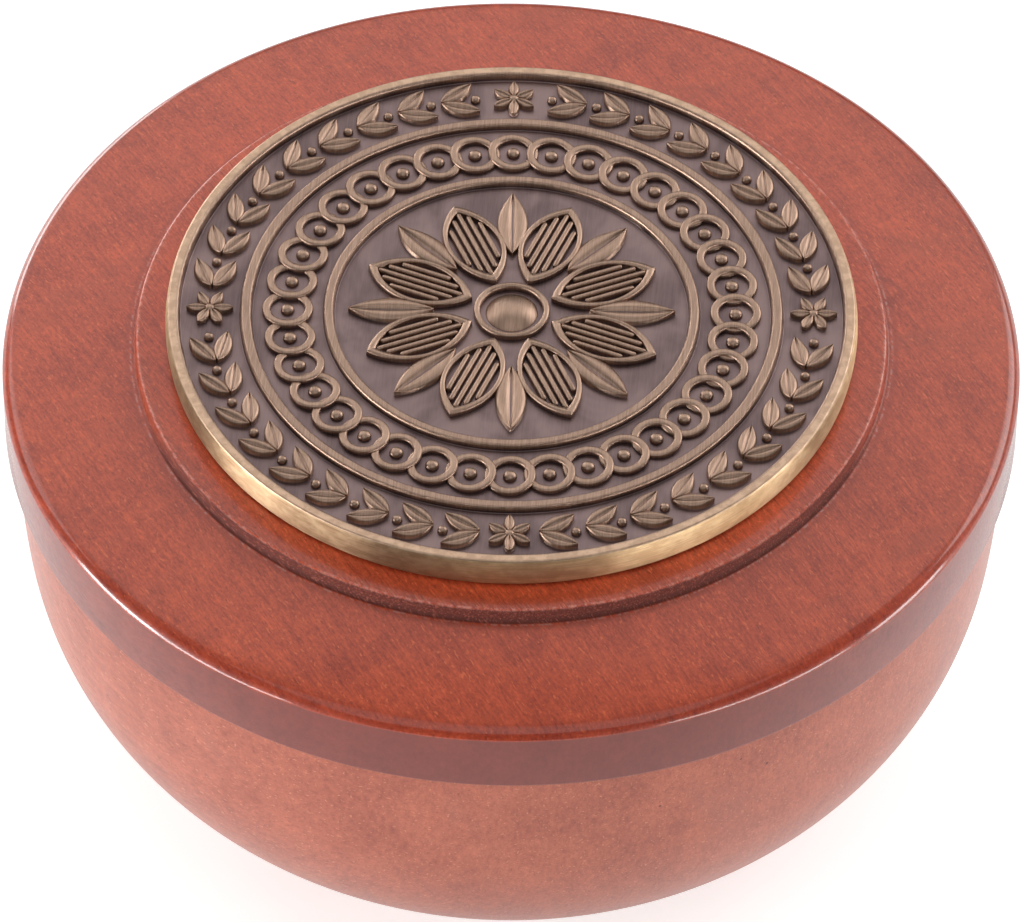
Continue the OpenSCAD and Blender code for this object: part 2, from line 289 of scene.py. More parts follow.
# ---------------------------------------------------------------- the cast medallion
class Casting:
    """Closed shells in one mesh, each point with how brightly it is polished, from 0 to 1."""

    def __init__(self):
        self.points, self.faces, self.polish = [], [], []

    def add(self, points, faces, polish, place=Matrix.Identity(4)):
        first = len(self.points)
        self.points += [place @ Vector(p) for p in points]
        self.faces += [[first + i for i in face] for face in faces]
        self.polish += list(polish)

    def loops(self, rings, polish, place):
        """A shell closed round itself, skinned over equal rings that follow each other round it."""
        count, across = len(rings[0]), len(rings)
        points = [p for ring in rings for p in ring]
        faces = []
        for a in range(across):
            b = (a + 1) % across
            for i in range(count):
                j = (i + 1) % count
                faces.append([a * count + i, a * count + j, b * count + j, b * count + i])
        self.add(points, faces, [v for v in polish for _ in range(count)], place)

    def bun(self, rings, polish, place, middle):
        """A shell with a flat bottom, skinned over rings from the bottom up to one middle point."""
        count = len(rings[0])
        points = [p for ring in rings for p in ring] + [middle]
        faces = [list(reversed(range(count)))]
        for a in range(len(rings) - 1):
            b = a + 1
            for i in range(count):
                j = (i + 1) % count
                faces.append([a * count + i, a * count + j, b * count + j, b * count + i])
        top = (len(rings) - 1) * count
        faces += [[top + i, top + (i + 1) % count, len(points) - 1] for i in range(count)]
        self.add(points, faces, [v for v in polish for _ in range(count)] + [polish[-1]], place)


casting = Casting()


def at(angle, radius, turn=0.0):
    """Place on the medallion's field, at an angle and a radius, with +X outwards, then turned."""
    return (
        Matrix.Rotation(angle, 4, "Z")
        @ Matrix.Translation((radius, 0, FIELD_Z))
        @ Matrix.Rotation(turn, 4, "Z")
    )


def disc_outline():
    z, top = cast_low.z, CAST_TOP
    outline = [(0, z), (CAST_R * 0.5, z), (CAST_R - WALL_BULGE - BASE_BEVEL, z)]
    for share in np.linspace(-1, 1, 11):
        wall_z = z + BEVEL + (top - z - 2.4 * BEVEL) * (share + 1) / 2
        outline.append((CAST_R - WALL_BULGE * share ** 2, wall_z))
    outline += [(CAST_R - WALL_BULGE - BEVEL, top), (RIM_INNER_R + BEVEL, top)]
    outline += [(RIM_INNER_R, top - BEVEL), (RIM_INNER_R - RIM_FLARE, FIELD_Z)]
    for outer, width in ((OUTER_RING_R, OUTER_RING_W), (INNER_RING_R, INNER_RING_W)):
        inner = outer - width
        outline += [(outer + FLARE, FIELD_Z), (outer, RING_TOP - BEVEL), (outer - BEVEL, RING_TOP)]
        outline += [(inner + BEVEL, RING_TOP), (inner, RING_TOP - BEVEL), (inner - FLARE, FIELD_Z)]
    outline += [(4 * MM, FIELD_Z), (0, FIELD_Z)]
    return soften(outline, 0.09 * MM, steps=2, limit=8)


def disc_polish(r, z):
    """Rim and ring tops are brushed, their edges rubbed bright, and the field is dark."""
    if r > OUTER_RING_R + 1 * MM and z > RING_TOP:
        return 1.0
    if z > FIELD_Z + 0.9 * RING_H:
        return 0.6
    if z > FIELD_Z + 0.5 * RING_H:
        return 0.85
    return 0.0


outline = disc_outline()
points, faces = turn_outline(outline, CAST_SEGMENTS)
casting.add(points, faces, [disc_polish(math.hypot(p[0], p[1]), p[2]) for p in points])


def lens(length, width, steps):
    """A pointed leaf's outline along +X, between two equal arcs, as a loop of 2 * steps points."""
    bow = (length ** 2 + width ** 2) / (4 * width)
    xs = [length * (1 - math.cos(math.pi * i / steps)) / 2 for i in range(steps + 1)]
    half = [math.sqrt(max(bow ** 2 - (x - length / 2) ** 2, 0)) - bow + width / 2 for x in xs]
    low = [(x, -h) for x, h in zip(xs, half)]
    high = [(x, h) for x, h in zip(xs, half)]
    return low[:-1] + high[:0:-1]


def leaf(place, length, width, height, vein=0.30):
    """A laurel leaf whose two rounded halves fall to a vein down the middle."""
    steps, across = 14, 12
    low = lens(length, width, steps)[:steps] + [(length, 0.0)]
    points, polish, faces = [], [], []
    for i in range(steps + 1):
        for j in range(across + 1):
            v = 2 * j / across - 1  # from one margin, over the vein at 0, to the other
            edge = min(1.0, (1 - abs(v)) * 5)
            crown = 0.84 + 0.16 * math.sin(math.pi * min(1.0, abs(v) * 1.1))
            groove = vein * math.exp(-(v / 0.13) ** 2)
            rise = height * (crown * (0.74 + 0.26 * edge) - groove)
            points.append((low[i][0], -low[i][1] * v, rise))
            polish.append(max(0.0, 0.95 - 2.6 * groove) * (0.55 if abs(v) > 0.99 else 1.0))
    wide = across + 1
    for i in range(steps):
        for j in range(across):
            a = i * wide + j
            faces.append([a, a + wide, a + wide + 1, a + 1])
    border = [i * wide for i in range(steps + 1)]
    border += [i * wide + across for i in range(steps, -1, -1)]
    base = len(points)
    for k in border:
        x, y, _ = points[k]
        points.append((x, y, -ROOT))
        polish.append(0.0)
    for k in range(len(border)):
        n = (k + 1) % len(border)
        faces.append([border[n], border[k], base + k, base + n])
    faces.append([base + k for k in range(len(border))])
    casting.add(points, faces, polish, place)


def inset(outer, inner, depth):
    """Points depth inside the outer loop, on the way to the matching points of the inner one."""
    moved = []
    for (ax, ay), (bx, by) in zip(outer, inner):
        gap = math.hypot(bx - ax, by - ay)
        share = depth / gap if gap > 0 else 0
        moved.append((ax + (bx - ax) * share, ay + (by - ay) * share))
    return moved


def raised(loop, z):
    return [(x, y, z) for x, y in loop]


def border_band(place, outer, inner, height):
    """A raised band between two loops, with bevelled edges."""
    crest = [inset(outer, inner, BEVEL * 0.6), inset(inner, outer, BEVEL * 0.6)]
    levels = [
        (outer, -ROOT, 0.0), (outer, height - BEVEL, 0.7), (crest[0], height, 1.0),
        (crest[1], height, 1.0), (inner, height - BEVEL, 0.7), (inner, -ROOT, 0.0),
    ]
    casting.loops([raised(loop, z) for loop, z, _ in levels], [p for _, _, p in levels], place)


def bar(place, length, width, height):
    """A straight bar along X with rounded ends and shoulders, centred on its place."""
    half, end = length / 2 - width / 2, width / 2
    loop = []
    for side, start in ((1, -90), (-1, 90)):
        for i in range(7):
            t = math.radians(start + 30 * i)
            loop.append((side * half + end * math.cos(t), end * math.sin(t)))
    rings = []
    levels = (
        (1.0, -ROOT, 0.0), (1.0, height * 0.62, 0.35),
        (0.8, height * 0.9, 0.9), (0.45, height, 0.9),
    )
    for share, z, _ in levels:
        rings.append([(x - math.copysign(end * (1 - share), x), y * share, z) for x, y in loop])
    casting.bun(rings, [p for _, _, p in levels], place, (0.0, 0.0, height))


def circle(count):
    """A unit circle as a closed loop of points."""
    turns = [2 * math.pi * i / count for i in range(count)]
    return [(math.cos(t), math.sin(t)) for t in turns]


def pearl(place, radius, height):
    levels = [(1.0, -ROOT), (1.0, 0.25), (0.93, 0.52), (0.78, 0.76), (0.5, 0.93), (0.25, 0.99)]
    rings = []
    for share, rise in levels:
        z = rise * height if rise > 0 else rise
        rings.append([(radius * share * x, radius * share * y, z) for x, y in circle(20)])
    casting.bun(rings, [0.0, 0.25, 0.6, 0.9, 1.0, 1.0], place, (0.0, 0.0, height))


def link(place, outer, width, height, tilt):
    """One link of the chain, tilted so that it passes over the next and under the last."""
    levels = [(0.0, -1.0, 0.0), (0.0, 0.75, 0.5), (0.14, 0.97, 0.9), (0.35, 1.0, 1.0)]
    levels += [(0.65, 1.0, 1.0), (0.86, 0.97, 0.9), (1.0, 0.75, 0.5), (1.0, -1.0, 0.0)]
    rings = []
    for share, rise, _ in levels:
        r = outer - width * share
        ring = []
        for x, y in circle(48):
            z = -ROOT if rise < 0 else height * rise + math.tan(tilt) * r * y
            ring.append((r * x, r * y, z))
        rings.append(ring)
    casting.loops(rings, [p for _, _, p in levels], place)


def flower(place, reach):
    """A small flower of six leaf-shaped petals round a pearl."""
    root = Matrix.Translation((FLOWER_HEART_R / 2, 0, 0))
    for i in range(FLOWER_PETALS):
        turn = Matrix.Rotation(2 * math.pi * i / FLOWER_PETALS, 4, "Z")
        leaf(place @ turn @ root, reach - FLOWER_HEART_R / 2, FLOWER_PETAL_W, RELIEF_H * 0.9, 0.22)
    pearl(place, FLOWER_HEART_R, RELIEF_H)


def laurel_band():
    radius, half = (RIM_INNER_R + OUTER_RING_R) / 2, (RIM_INNER_R - OUTER_RING_R) / 2
    length = (half - LEAF_GAP - LEAF_PART / 2) / math.sin(LEAF_SPREAD)
    flower_r = half - FLOWER_GAP
    start = (flower_r + FLOWER_ROOM) / radius
    pitch = (math.pi / 2 - 2 * start) / LEAF_PAIRS
    for side in (1, -1):
        for quarter in (-math.pi / 2, 0.0):
            for i in range(LEAF_PAIRS):
                angle = quarter + start + i * pitch
                place = at(angle, radius, math.pi / 2)
                if side < 0:
                    place = at(math.pi - angle, radius, -math.pi / 2)
                for lean in (1, -1):
                    stem = place @ Matrix.Translation((0, lean * LEAF_PART / 2, 0))
                    spread = Matrix.Rotation(lean * LEAF_SPREAD, 4, "Z")
                    leaf(stem @ spread, length, LEAF_W, RELIEF_H)
                berry = place @ Matrix.Translation((length * math.cos(LEAF_SPREAD), 0, 0))
                pearl(berry, BERRY_R, RELIEF_H * 0.9)
    for i in range(4):
        flower(at(i * math.pi / 2, radius), flower_r)


def chain_band():
    outer, inner = OUTER_RING_R - OUTER_RING_W, INNER_RING_R
    radius = (outer + inner) / 2
    for i in range(LINKS):
        place = at(2 * math.pi * i / LINKS, radius)
        link(place, (outer - inner) / 2 - LINK_GAP, LINK_W, RELIEF_H * 0.82, LINK_TILT)
        pearl(place, LINK_PEARL_R, RELIEF_H * 0.9)


def petal(place, length, width):
    """A pointed petal with a raised border, which is filled with ribs along it."""
    outer = lens(length, width, PETAL_STEPS)
    inner_l, inner_w = length - 4 * PETAL_BORDER, width - 2 * PETAL_BORDER
    inner = [(x + 2 * PETAL_BORDER, y) for x, y in lens(inner_l, inner_w, PETAL_STEPS)]
    border_band(place, outer, inner, RELIEF_H)
    bow = (inner_l ** 2 + inner_w ** 2) / (4 * inner_w)
    ribs = int(inner_w / RIB_PITCH / 2)
    for i in range(-ribs, ribs + 1):
        rise = abs(i * RIB_PITCH) + RIB_W / 2 + bow - inner_w / 2
        if rise >= bow:
            continue
        reach = math.sqrt(bow ** 2 - rise ** 2)
        middle = Matrix.Translation((length / 2, i * RIB_PITCH, 0))
        bar(place @ middle, 2 * reach + RIB_OVERLAP, RIB_W, RELIEF_H * 0.93)


def rosette():
    reach = INNER_RING_R - INNER_RING_W
    for i in range(PETALS):
        place = at((i + 0.5) * 2 * math.pi / PETALS, PETAL_START)
        petal(place, reach - PETAL_GAP - PETAL_START, PETAL_W)
        sepal = at(i * 2 * math.pi / PETALS, SEPAL_START)
        leaf(sepal, reach - SEPAL_GAP - SEPAL_START, SEPAL_W, RELIEF_H, 0.42)
    loop = circle(72)
    band = [[(r * x, r * y) for x, y in loop] for r in (HUB_R, HUB_R - HUB_W)]
    border_band(at(0, 0), band[0], band[1], RELIEF_H)
    shares = (1.0, 1.0, 0.97, 0.9, 0.78, 0.6, 0.4, 0.2)
    rings = []
    for n, share in enumerate(shares):
        z = -ROOT if n == 0 else BOSS_H * (1 - share ** 2.2) + 0.02 * MM
        rings.append([(BOSS_R * share * x, BOSS_R * share * y, z) for x, y in loop])
    casting.bun(rings, [0.0, 0.3, 0.6, 0.9, 1.0, 1.0, 1.0, 1.0], at(0, 0), (0, 0, BOSS_H))


laurel_band()
chain_band()
rosette()
medallion = make_mesh("medallion_cast", casting.points, casting.faces, casting.polish)
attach(medallion, "lid_body")
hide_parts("medallion")


# ---------------------------------------------------------------- image points and camera
W, H = 1024, 922
L = max(W, H)
# Places in the photograph's frame. A bound has only the coordinate that it limits.
IMAGE_POINTS = {
    "object_left": (1, None),
    "object_right": (1021, None),
    "object_top": (None, 2),
    "object_bottom": (None, 920),
    "seam_front": (506, 787),
    "lid_line_front": (512, 744),
    "lid_line_left": (82, 574),
    "lid_line_right": (969, 539),
    "platform_edge_front": (505, 612),
    "medallion_rim_front": (511, 564),
    "medallion_rim_back": (511, 65),
    "medallion_base_front": (512, 586),
    "outer_ring_front": (511, 508),
    "inner_ring_front": (511, 446),
    "knot": (893, 282),
    "bowl_pit_far": (767, 763),
    "bowl_pit_right": (741, 759),
    "bowl_pit_middle": (660, 806),
}

CAMERA_LENS = 287.6
SENSOR_WIDTH = 36.0
CAMERA_ELEVATION = math.radians(46.66)
CAMERA_DISTANCE = 0.8904
CAMERA_ROLL = 0.0106
AIM_RIGHT = 0.20 * MM
AIM_UP = -6.25 * MM
SHIFT_X, SHIFT_Y = 0.0, 0.0

seam = Vector((0, 0, RIM_Z))
towards_camera = Vector((0, -math.cos(CAMERA_ELEVATION), math.sin(CAMERA_ELEVATION)))
camera_up = Vector((0, math.sin(CAMERA_ELEVATION), math.cos(CAMERA_ELEVATION)))
camera_data = bpy.data.cameras.new("camera")
camera_data.sensor_width, camera_data.sensor_fit = SENSOR_WIDTH, "AUTO"
camera_data.lens = CAMERA_LENS
camera_data.shift_x, camera_data.shift_y = SHIFT_X, SHIFT_Y
camera = bpy.data.objects.new("camera", camera_data)
aim = seam + Vector((AIM_RIGHT, 0, 0)) + AIM_UP * camera_up
eye = seam + CAMERA_DISTANCE * towards_camera
look = (aim - eye).to_track_quat("-Z", "Y").to_matrix().to_4x4()
camera.matrix_world = Matrix.Translation(eye) @ look @ Matrix.Rotation(CAMERA_ROLL, 4, "Z")
bpy.context.scene.collection.objects.link(camera)
bpy.context.scene.camera = camera
bpy.context.scene.view_settings.view_transform = "Standard"


def shown_at(places):
    """Where places in the scene show in the photograph's frame, as an array of x and y."""
    local = np.array(places) @ np.array(camera.matrix_world.inverted().to_3x3()).T
    local = local + np.array(camera.matrix_world.inverted().translation)
    scale = L * CAMERA_LENS / SENSOR_WIDTH / -local[:, 2]
    return np.column_stack((
        W / 2 - SHIFT_X * L + local[:, 0] * scale,
        H / 2 + SHIFT_Y * L - local[:, 1] * scale,
    ))


def on_surface(point, piece):
    """Where an image point's ray meets a piece, or the piece's vertex that is nearest the ray."""
    x, y = IMAGE_POINTS[point]
    ray = Vector((x - W / 2 + SHIFT_X * L, H / 2 - y + SHIFT_Y * L, -L * CAMERA_LENS / SENSOR_WIDTH))
    ray = (camera.matrix_world.to_3x3() @ ray).normalized()
    vertices = [v.co for v in piece.data.vertices]
    tree = BVHTree.FromPolygons(vertices, [tuple(f.vertices) for f in piece.data.polygons])
    met = tree.ray_cast(camera.matrix_world.translation, ray)[0]
    if met is not None:
        return met
    return min(vertices, key=lambda v: (v - camera.matrix_world.translation).cross(ray).length)


# ---------------------------------------------------------------- materials
class Graph:
    """A material's nodes, made and linked in one call each."""

    def __init__(self, name):
        self.material = bpy.data.materials.new(name)
        self.material.use_nodes = True
        self.tree = self.material.node_tree
        self.tree.nodes.clear()
        self.shader = self.add("ShaderNodeBsdfPrincipled")
        output = self.add("ShaderNodeOutputMaterial")
        self.tree.links.new(self.shader.outputs[0], output.inputs["Surface"])
        self.coords = self.add("ShaderNodeTexCoord").outputs["Object"]

    def add(self, kind, inputs=None, **settings):
        node = self.tree.nodes.new(kind)
        for key, value in settings.items():
            setattr(node, key, value)
        for key, value in (inputs or {}).items():
            self.set(node, key, value)
        return node

    def set(self, node, key, value):
        if isinstance(value, bpy.types.NodeSocket):
            self.tree.links.new(value, node.inputs[key])
        else:
            node.inputs[key].default_value = value

    def surface(self, **inputs):
        for key, value in inputs.items():
            self.set(self.shader, key.replace("_", " "), value)

    def turned(self, turn):
        return self.add("ShaderNodeMapping", {"Vector": self.coords, "Rotation": turn}).outputs[0]

    def noise(self, vector, size, detail=2.0, rough=0.5, distortion=0.0):
        """Noise from 0 to 1 whose grain has the given size along X, Y and Z, in millimetres."""
        scale = tuple(1 / (s * MM) for s in size)
        stretched = self.add("ShaderNodeMapping", {"Vector": vector, "Scale": scale}).outputs[0]
        values = {
            "Vector": stretched, "Scale": 1.0,
            "Detail": detail, "Roughness": rough, "Distortion": distortion,
        }
        return self.add("ShaderNodeTexNoise", values).outputs["Fac"]

    def ramp(self, value, low, high, to_low=0.0, to_high=1.0):
        values = {0: value, 1: low, 2: high, 3: to_low, 4: to_high}
        return self.add("ShaderNodeMapRange", values, interpolation_type="SMOOTHSTEP").outputs[0]

    def maths(self, operation, a, b=0.0):
        return self.add("ShaderNodeMath", {0: a, 1: b}, operation=operation).outputs[0]

    def times(self, a, b):
        return self.maths("MULTIPLY", a, b)

    def blend(self, parts):
        """0.5, and each part's noise above or below its own middle times its weight."""
        total = 0.5
        for value, weight in parts:
            swing = self.times(self.maths("SUBTRACT", value, 0.5), weight)
            total = self.maths("ADD", swing, total)
        return total

    def mix(self, factor, a, b):
        node = self.add("ShaderNodeMix", data_type="RGBA")
        self.set(node, 0, factor)
        self.set(node, 6, a)
        self.set(node, 7, b)
        return node.outputs[2]

    def bump(self, height, distance, strength=1.0):
        values = {"Height": height, "Distance": distance, "Strength": strength}
        return self.add("ShaderNodeBump", values).outputs[0]

    def radius_depth_and_height(self):
        """How far the shading point lies from the axis, how far back from it, and how high."""
        split = self.add("ShaderNodeSeparateXYZ", {"Vector": self.coords}).outputs
        squares = [self.times(split[i], split[i]) for i in (0, 1)]
        return self.maths("SQRT", self.maths("ADD", *squares)), split[1], split[2]

    def near(self, value, centre, half_width):
        """1 where the value is at the centre, down to 0 a half width away."""
        distance = self.maths("ABSOLUTE", self.maths("SUBTRACT", value, centre))
        return self.ramp(distance, 0.0, half_width, 1.0, 0.0)

    def distance(self, place):
        values = {0: self.coords, 1: tuple(place)}
        return self.add("ShaderNodeVectorMath", values, operation="DISTANCE").outputs["Value"]

    def spot(self, place, size, ragged):
        """1 inside a spot of the given radius round a place, 0 outside, with a ragged edge."""
        distance = self.maths("ADD", self.distance(place), self.times(ragged, size))
        return self.ramp(distance, size, 1.5 * size, 1.0, 0.0)


def rgb(red, green, blue):
    return (red, green, blue, 1.0)


def shade(colour, red, green, blue):
    return rgb(colour[0] * red, colour[1] * green, colour[2] * blue)


GRAIN_TURN = (0.0, 0.0, math.radians(58))
BOWL_TONE = (0.472, 0.126, 0.075)
LID_TONE = (0.50, 0.073, 0.027)
LID_SIDE_TONE = (0.262, 0.043, 0.027)
# Painted shade: the darker tone of the front of the lid's side
LID_FRONT_SHADE_TONE = (0.17, 0.020, 0.011)


class Wood(Graph):
    """Stained close-grained wood, whose fibres run across the turning axis."""

    def __init__(self, name, tone, contrast, streaks, mottling):
        super().__init__(name)
        self.tone = tone
        self.grain = grain = self.turned(GRAIN_TURN)
        self.fibre = self.noise(grain, (1.0, 0.22, 0.24), detail=2, rough=0.6, distortion=0.1)
        self.fuzz = self.noise(grain, (0.7, 0.4, 0.4), detail=3, rough=0.7)
        self.pore = self.noise(grain, (0.9, 0.22, 0.24), detail=1, rough=0.5)
        self.mottle = self.noise(grain, (2.4, 3.4, 3.4), detail=4, rough=0.65, distortion=0.6)
        self.figure = self.noise(grain, (7, 20, 20), detail=3, rough=0.5, distortion=0.8)
        self.fleck = self.noise(grain, (0.8, 0.3, 0.3), detail=1, rough=0.5, distortion=0.2)
        streak = self.noise(grain, (8, 0.5, 0.9), detail=3, rough=0.65, distortion=0.2)
        speckle = self.noise(grain, (0.45, 0.32, 0.32), detail=3, rough=0.75)
        growth = self.noise(grain, (90, 7, 9), detail=2, rough=0.5, distortion=0.5)
        self.fine = self.blend([(self.fibre, 1.3 * contrast), (speckle, 1.6 * contrast)])
        self.broad = self.blend([
            (streak, streaks), (self.mottle, mottling), (self.figure, 0.6), (growth, 0.5),
        ])
        self.colour = self.tones(tone, 1.0)
        self.roughness = self.ramp(self.fibre, 0.3, 0.7, 0.36, 0.46)
        self.varnish = 0.5

    def tones(self, middle, fineness):
        """The wood's colour round a middle tone, with its fine grain at a share of its strength."""
        level = self.times(self.maths("SUBTRACT", self.fine, 0.5), fineness)
        level = self.maths("ADD", self.broad, level)
        colour = self.mix(level, shade(middle, 0.60, 0.48, 0.52), shade(middle, 1.40, 1.52, 1.48))
        cooler = self.ramp(self.figure, 0.54, 0.72, 0.0, 0.40)
        colour = self.mix(cooler, colour, shade(middle, 0.66, 0.80, 1.05))
        flecks = self.ramp(self.fleck, 0.64, 0.74, 0.0, 0.7 * fineness)
        colour = self.mix(flecks, colour, shade(middle, 1.45, 2.1, 2.0))
        pores = self.ramp(self.pore, 0.64, 0.74, 0.0, 0.6 * fineness)
        return self.mix(pores, colour, shade(middle, 0.50, 0.42, 0.50))

    def stain_and_shade(self, mask, amount, red, green, blue):
        """Mixes in another tone of the wood where the mask is 1, both for stains and wear and for
        painted shade and reflections.
        """
        stained = shade(self.tone, red, green, blue)
        self.colour = self.mix(self.times(mask, amount), self.colour, stained)

    def tint(self, mask, amount, red, green, blue):
        """Mixes in the wood's own grain in another tone where the mask is 1."""
        grained = self.tones(shade(self.tone, red, green, blue), 1.0)
        self.colour = self.mix(self.times(mask, amount), self.colour, grained)

    def pits(self, places, size):
        for place in places:
            self.stain_and_shade(self.spot(place, size, self.mottle), 0.85, 0.22, 0.16, 0.22)

    def finish(self):
        fibres, pores = self.times(self.fibre, 0.5), self.ramp(self.pore, 0.66, 0.74)
        relief = self.maths("SUBTRACT", fibres, pores)
        self.surface(
            Base_Color=self.colour,
            Roughness=self.roughness,
            Normal=self.bump(relief, 0.015 * MM, 0.5),
            Specular_IOR_Level=0.4,
            Coat_Weight=self.varnish,
            Coat_Roughness=0.12,
        )
        return self.material


def bowl_wood(pits):
    g = Wood("bowl_wood", BOWL_TONE, contrast=0.36, streaks=0.9, mottling=0.45)
    _, _, height = g.radius_depth_and_height()
    seam = g.near(height, RIM_Z - 0.35 * MM, 0.4 * MM)
    g.stain_and_shade(g.times(seam, g.ramp(g.fuzz, 0.40, 0.60)), 0.6, 1.4, 1.5, 1.0)
    g.pits(pits, 0.2 * MM)
    return g.finish()


def lid_wood(knot, knot_centre):
    """The lid's wood, with a greyer turned side that is painted darker in front, a painted glow in
    front of the medallion, painted shade along the arris, and a worn step with painted shade and
    some dirt on it and a painted reflection in its corner.
    """
    g = Wood("lid_wood", LID_TONE, contrast=0.74, streaks=1.0, mottling=0.8)
    radius, depth, height = g.radius_depth_and_height()

    # The turned side, with painted shade that makes it darker in front
    on_top = g.ramp(height, ARRIS_Z - 0.2 * MM, ARRIS_Z + 0.05 * MM)
    side = g.tones(LID_SIDE_TONE, 0.2)
    # Painted shade: the side darkens towards the front
    front_shade = g.ramp(depth, -0.98 * LID_R, -0.6 * LID_R, 0.55, 0.0)
    g.colour = g.mix(on_top, g.mix(front_shade, side, rgb(*LID_FRONT_SHADE_TONE)), g.colour)

    # A painted glow in front of the medallion, paler wood that stands for the brass's reflection on
    # it, and painted shade in a darker band along the arris
    front = g.ramp(depth, -0.65 * PLATFORM_R, -0.1 * PLATFORM_R, 1.0, 0.0)
    # Painted light: the brass's reflection on the wood in front of it, as a paler tone
    g.tint(g.times(g.near(radius, CAST_R, 3.6 * MM), front), 0.9, 1.38, 1.35, 1.25)
    # Painted shade: a darker band all round the arris's rounding
    arris = g.near(radius, LID_R - 0.4 * MM, 1.6 * MM)
    g.tint(g.times(arris, on_top), 0.7, 0.58, 0.42, 0.45)

    # The step: painted shade with some dirt on its wall, painted shade at its foot, a pale line
    # painted in its corner as a reflection, and torn and rubbed fibres on its edge
    wall_dirt_and_shade = g.times(
        g.ramp(radius, PLATFORM_R - 0.14 * MM, PLATFORM_R - 0.04 * MM),
        g.ramp(radius, PLATFORM_R + 0.35 * MM, PLATFORM_R + 0.60 * MM, 1.0, 0.0),
    )
    # Painted shade with some dirt: the wall is darkened more in front
    wall_dirt_and_shade = g.times(wall_dirt_and_shade, g.ramp(front, 0.0, 1.0, 0.30, 0.92))
    g.stain_and_shade(wall_dirt_and_shade, 1.0, 0.20, 0.30, 0.60)
    # Painted shade: a darker band round the foot of the step
    g.stain_and_shade(g.near(radius, PLATFORM_R + 1.0 * MM, 0.5 * MM), 0.35, 0.55, 0.5, 0.6)
    # Painted reflection: a pale fuzzy line in the step's corner
    foot_reflection = g.near(radius, PLATFORM_R + 0.62 * MM, 0.2 * MM)
    g.stain_and_shade(g.times(foot_reflection, g.ramp(g.fuzz, 0.46, 0.60)), 0.55, 1.0, 4.5, 11.0)
    torn = g.near(radius, PLATFORM_R - 0.3 * MM, 1.6 * MM)
    fibres = g.noise(g.grain, (1.8, 0.17, 0.2), detail=2, rough=0.6)
    g.stain_and_shade(g.times(torn, g.ramp(fibres, 0.52, 0.70)), 0.5, 1.35, 2.6, 4.5)
    rubbed = g.near(radius, PLATFORM_R - 0.22 * MM, 0.26 * MM)
    g.stain_and_shade(g.times(rubbed, g.ramp(g.fuzz, 0.42, 0.62)), 0.6, 1.5, 4.6, 10.0)

    # The knot's dark bow
    ragged = g.maths("ADD", g.distance(knot_centre), g.times(g.mottle, 0.4 * MM))
    bow = g.near(ragged, 3.1 * MM, 0.5 * MM)
    close = g.ramp(g.distance(knot), 1.6 * MM, 2.6 * MM, 1.0, 0.0)
    g.stain_and_shade(g.times(bow, close), 0.6, 0.5, 0.45, 0.6)

    # The wall is left dull, and varnish has pooled on the arris
    g.roughness = g.maths("MAXIMUM", g.roughness, g.times(wall_dirt_and_shade, 0.8))
    pooled = g.times(g.near(radius, LID_R - 0.4 * MM, 0.9 * MM), 0.5)
    g.varnish = g.maths("ADD", pooled, g.ramp(wall_dirt_and_shade, 0.0, 1.0, g.varnish, 0.0))
    return g.finish()


def antiqued_brass():
    g = Graph("antiqued_brass")
    polish = g.add("ShaderNodeAttribute", attribute_name="polish").outputs["Fac"]
    turned = g.turned((0, 0, math.radians(4)))
    brushed = g.noise(turned, (0.17, 3.6, 1.1), detail=3, rough=0.65)
    cloud = g.noise(turned, (6.5, 9.5, 10), detail=3, rough=0.55, distortion=0.4)
    grime = g.noise(turned, (1.1, 1.1, 1.1), detail=4, rough=0.6)
    radius = g.radius_depth_and_height()[0]
    field = g.mix(g.ramp(cloud, 0.34, 0.68), rgb(0.165, 0.116, 0.116), rgb(0.30, 0.213, 0.205))
    field = g.mix(g.ramp(brushed, 0.3, 0.7, 0.0, 0.22), field, rgb(0.37, 0.265, 0.25))
    feet = [CAST_R - RIM_W, OUTER_RING_R, OUTER_RING_R - OUTER_RING_W]
    feet += [INNER_RING_R, INNER_RING_R - INNER_RING_W]
    for foot in feet:
        shadow = g.near(radius, foot, 0.7 * MM)
        field = g.mix(g.times(shadow, 0.4), field, rgb(0.12, 0.083, 0.08))
    top = g.mix(g.ramp(brushed, 0.3, 0.7), rgb(0.33, 0.215, 0.160), rgb(0.48, 0.322, 0.243))
    bright = g.mix(g.ramp(grime, 0.4, 0.62), rgb(0.545, 0.365, 0.25), rgb(0.69, 0.475, 0.33))
    colour = g.mix(g.ramp(polish, 0.05, 0.4), field, top)
    rim = g.ramp(radius, CAST_R - RIM_W - 0.2 * MM, CAST_R - RIM_W + 0.1 * MM, 0.12, 0.9)
    colour = g.mix(g.times(g.ramp(polish, 0.65, 1.0), rim), colour, bright)
    g.surface(
        Base_Color=colour,
        Metallic=1.0,
        Roughness=g.ramp(polish, 0.0, 1.0, 0.46, 0.42),
        Normal=g.bump(brushed, 0.008 * MM, 0.5),
    )
    return g.material


# Painted shade on the medallion's side: azimuth in degrees, where a patch starts and is full as
# shares of the radius, and how brown it is
WALL_SHADE_PATCHES = ((-137, 0.70, 0.92, 0.85), (-28, 0.93, 0.99, 0.6))


